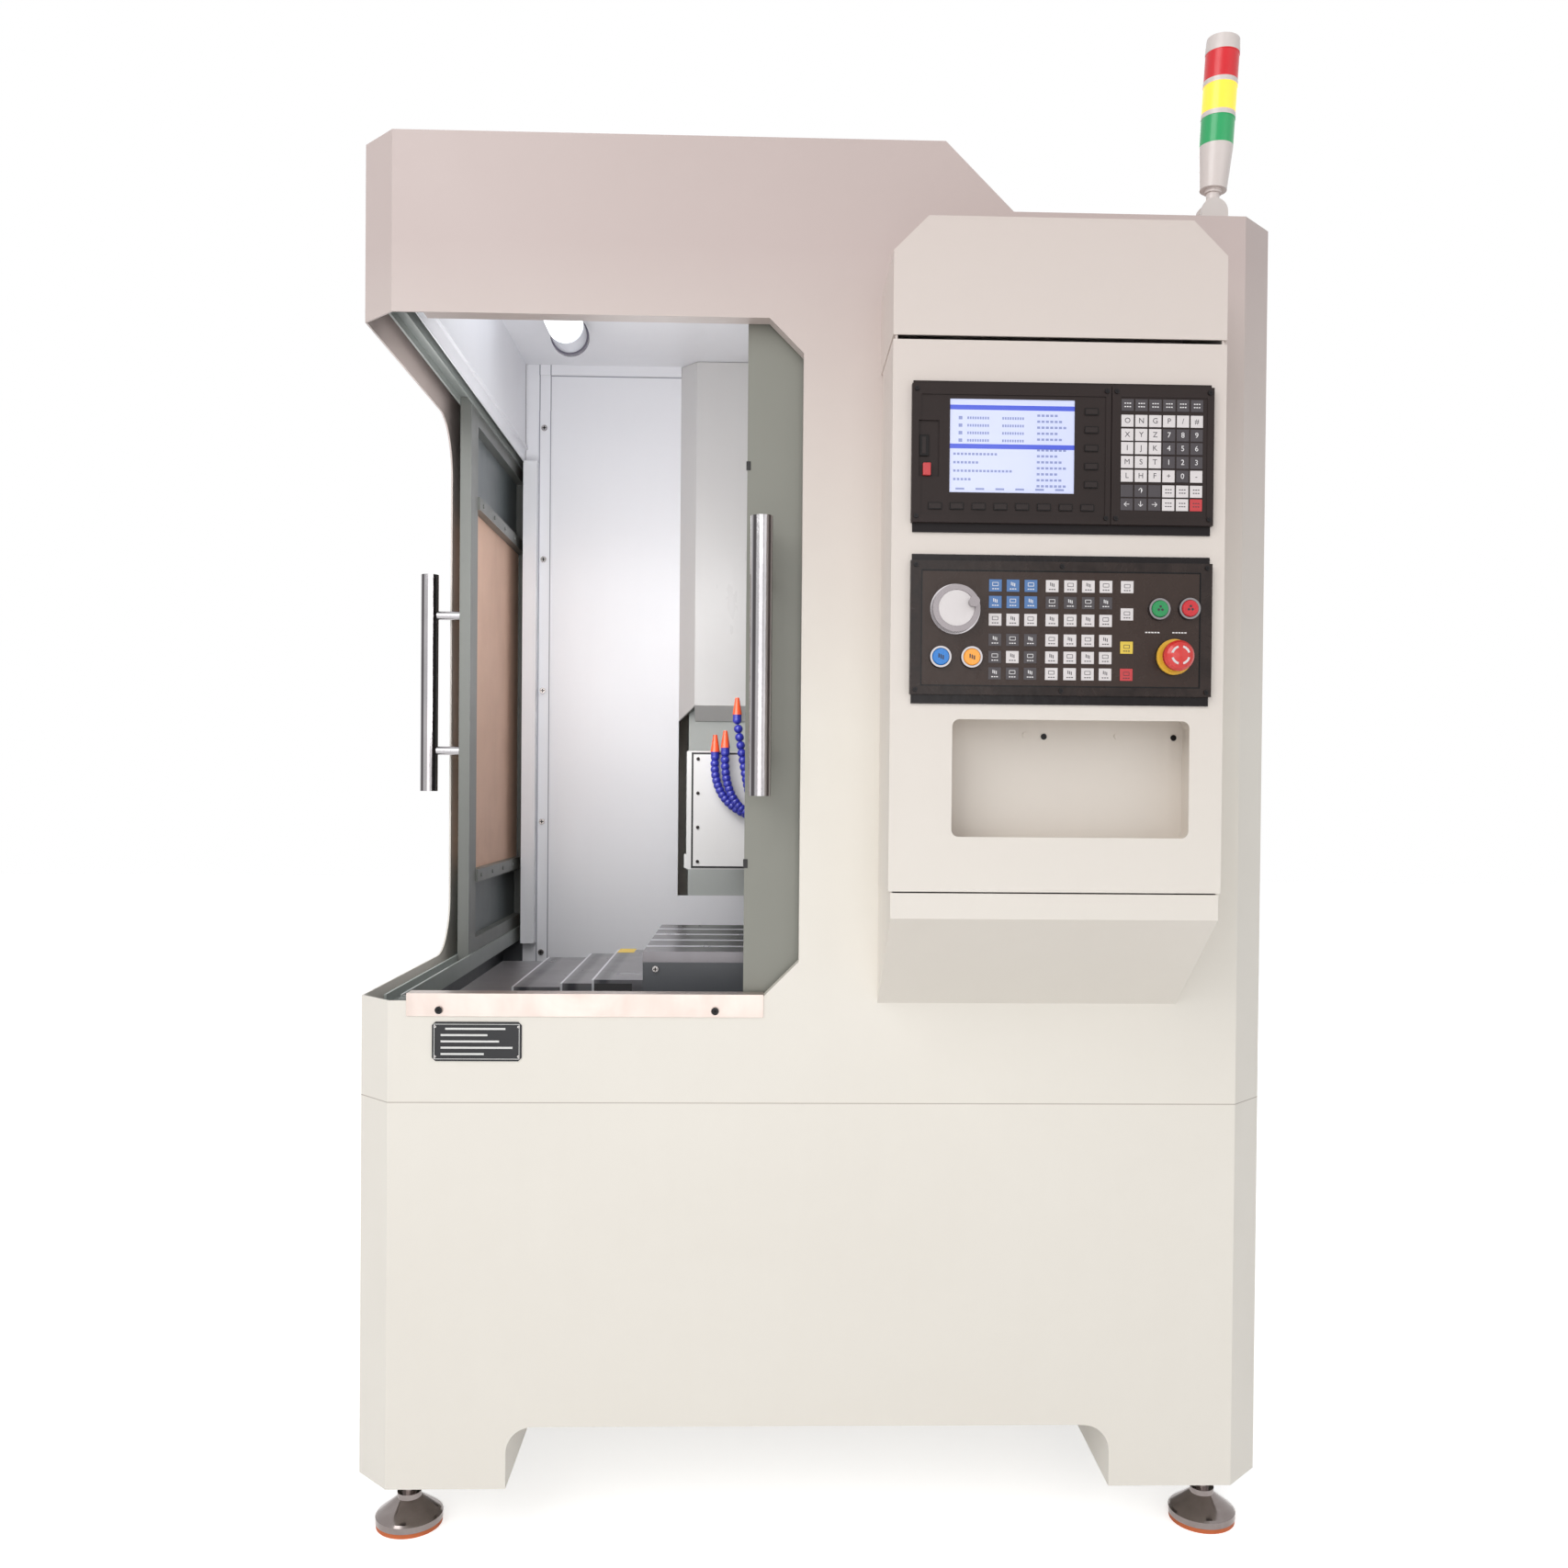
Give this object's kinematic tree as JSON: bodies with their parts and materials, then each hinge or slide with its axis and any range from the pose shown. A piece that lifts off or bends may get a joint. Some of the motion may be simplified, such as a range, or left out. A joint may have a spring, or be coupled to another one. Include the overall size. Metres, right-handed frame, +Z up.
{
  "type": "cnc milling machine",
  "caption": "Enclosed C-frame milling machine with sliding front and side doors, slotted cross table, telescopic way covers, control box and light tower.",
  "frame": {"origin": "on the floor under the centre of the overall box", "axes": "+Z up, +X to the right seen from the front, +Y to the back"},
  "size_m": [1.383, 1.802, 2.255],
  "materials": {
    "cream_paint": "satin cream powder coat",
    "head_paint": "smooth white paint",
    "door_paint": "grey-green paint",
    "chamber_lining": "cool white paint",
    "cast_base": "painted grey casting",
    "table_iron": "ground",
    "cover_steel": "dark brushed steel",
    "stainless": "brushed",
    "handle_chrome": "polished",
    "foot_steel": "zinc plated",
    "foot_rubber": "orange rubber",
    "tray_steel": "dark grey paint",
    "bezel_plastic": "fine texture",
    "screen_glass": "lit liquid crystal panel",
    "dial_plastic": "satin dial",
    "button_chrome": "bezel rings",
    "blue_plastic": "moulded",
    "orange_plastic": "moulded",
    "green_plastic": "moulded",
    "red_plastic": "moulded",
    "stop_plastic": "moulded",
    "plate_metal": "anodised black",
    "lamp_glass": "frosted tube",
    "bracket_plastic": "moulded",
    "tower_plastic": "banded lenses",
    "mask_paper": "brown protective paper",
    "motor_paint": "black paint",
    "spindle_steel": "ground",
    "hose_plastic": "blue segments"
  },
  "bodies": {
    "cabinet": {"base_stand": "cream_paint", "levelling_feet": "foot_steel", "foot_rings": "foot_rubber", "machine_bed": "cast_base", "column": "cast_base", "chip_tray": "tray_steel", "front_fascia": "cream_paint", "left_corners": "cream_paint", "right_corner": "cream_paint", "left_side_panel": "cream_paint", "right_side_panel": "cream_paint", "rear_panel": "cream_paint", "roof": "cream_paint", "ceiling": "chamber_lining", "back_wall": "chamber_lining", "side_linings": "chamber_lining", "column_cover": "head_paint", "door_rails": "stainless", "sill_trim": "stainless", "control_hood": "cream_paint", "control_housing": "cream_paint", "control_panel": "cream_paint", "document_pocket": "cream_paint", "display_unit": "bezel_plastic", "display_screen": "screen_glass", "keypad_unit": "bezel_plastic", "operator_panel": "bezel_plastic", "button_bezels": "button_chrome", "nameplate": "plate_metal", "work_light": "lamp_glass", "tower_bracket": "bracket_plastic", "y_covers_fixed": "cover_steel"},
    "rear_door": {"rear_door": "cream_paint"},
    "front_door": {"front_door": "door_paint", "front_door_handle": "handle_chrome"},
    "side_door": {"side_door": "door_paint", "side_door_window": "mask_paper", "side_door_handle": "handle_chrome"},
    "saddle": {"saddle": "cast_base", "x_covers_fixed": "cover_steel", "y_covers_outer": "cover_steel"},
    "table": {"table": "table_iron", "table_guard": "cover_steel", "x_covers_outer": "cover_steel"},
    "x_covers_upper": {"x_covers_upper": "cover_steel"},
    "x_covers_lower": {"x_covers_lower": "cover_steel"},
    "y_covers_upper": {"y_covers_upper": "cover_steel"},
    "y_covers_lower": {"y_covers_lower": "cover_steel"},
    "head": {"head": "cast_base", "head_cover": "head_paint", "spindle_motor": "motor_paint", "coolant_hoses": "hose_plastic"},
    "spindle": {"spindle": "spindle_steel"},
    "handwheel": {"handwheel_dial": "dial_plastic"},
    "button_blue": {"button_blue": "blue_plastic"},
    "button_orange": {"button_orange": "orange_plastic"},
    "button_green": {"button_green": "green_plastic"},
    "button_red": {"button_red": "red_plastic"},
    "stop_mushroom": {"stop_mushroom": "stop_plastic"},
    "light_tower": {"light_tower": "tower_plastic"}
  },
  "joints": [
    {"name": "front_door_slide", "type": "slide", "parent": "cabinet", "child": "front_door", "axis": [1, 0, 0], "range_m": [-0.508, 0]},
    {"name": "side_door_slide", "type": "slide", "parent": "cabinet", "child": "side_door", "axis": [0, 1, 0], "range_m": [-0.52, 0]},
    {"name": "rear_door_hinge", "type": "hinge", "parent": "cabinet", "child": "rear_door", "pos_m": [-0.4175, 0.882, 1.29], "axis": [0, 0, 1], "range_deg": [0, 105]},
    {"name": "saddle_slide", "type": "slide", "parent": "cabinet", "child": "saddle", "axis": [0, 1, 0], "range_m": [0, 0.4]},
    {"name": "table_slide", "type": "slide", "parent": "saddle", "child": "table", "axis": [1, 0, 0], "range_m": [-0.2, 0.2]},
    {"name": "x_covers_upper_slide", "type": "slide", "parent": "saddle", "child": "x_covers_upper", "axis": [1, 0, 0], "range_m": [-0.153, 0.153]},
    {"name": "x_covers_lower_slide", "type": "slide", "parent": "saddle", "child": "x_covers_lower", "axis": [1, 0, 0], "range_m": [-0.081, 0.081]},
    {"name": "y_covers_upper_slide", "type": "slide", "parent": "cabinet", "child": "y_covers_upper", "axis": [0, 1, 0], "range_m": [0, 0.267]},
    {"name": "y_covers_lower_slide", "type": "slide", "parent": "cabinet", "child": "y_covers_lower", "axis": [0, 1, 0], "range_m": [0, 0.1334]},
    {"name": "head_slide", "type": "slide", "parent": "cabinet", "child": "head", "axis": [0, 0, 1], "range_m": [-0.036, 0.164]},
    {"name": "spindle_spin", "type": "hinge", "parent": "head", "child": "spindle", "pos_m": [0.0215, -0.101, 1], "axis": [0, 0, 1], "continuous": true},
    {"name": "handwheel_spin", "type": "hinge", "parent": "cabinet", "child": "handwheel", "pos_m": [0.1925, -0.871, 1.354], "axis": [0, -1, 0], "continuous": true},
    {"name": "button_blue_press", "type": "slide", "parent": "cabinet", "child": "button_blue", "axis": [0, 1, 0], "range_m": [0, 0.0025], "stiffness_N_per_m": 600},
    {"name": "button_orange_press", "type": "slide", "parent": "cabinet", "child": "button_orange", "axis": [0, 1, 0], "range_m": [0, 0.0025], "stiffness_N_per_m": 600},
    {"name": "button_green_press", "type": "slide", "parent": "cabinet", "child": "button_green", "axis": [0, 1, 0], "range_m": [0, 0.0025], "stiffness_N_per_m": 600},
    {"name": "button_red_press", "type": "slide", "parent": "cabinet", "child": "button_red", "axis": [0, 1, 0], "range_m": [0, 0.0025], "stiffness_N_per_m": 600},
    {"name": "stop_press", "type": "slide", "parent": "cabinet", "child": "stop_mushroom", "axis": [0, 1, 0], "range_m": [0, 0.004], "stiffness_N_per_m": 1500},
    {"name": "tower_fold", "type": "hinge", "parent": "cabinet", "child": "light_tower", "pos_m": [0.6145, -0.596, 1.99], "axis": [0, 1, 0], "range_deg": [-90, 85]}
  ],
  "couplings": [
    {"joint": "x_covers_upper_slide", "follows": "table_slide", "ratio": 0.765},
    {"joint": "x_covers_lower_slide", "follows": "table_slide", "ratio": 0.405},
    {"joint": "y_covers_upper_slide", "follows": "saddle_slide", "ratio": 0.66667},
    {"joint": "y_covers_lower_slide", "follows": "saddle_slide", "ratio": 0.33333}
  ]
}
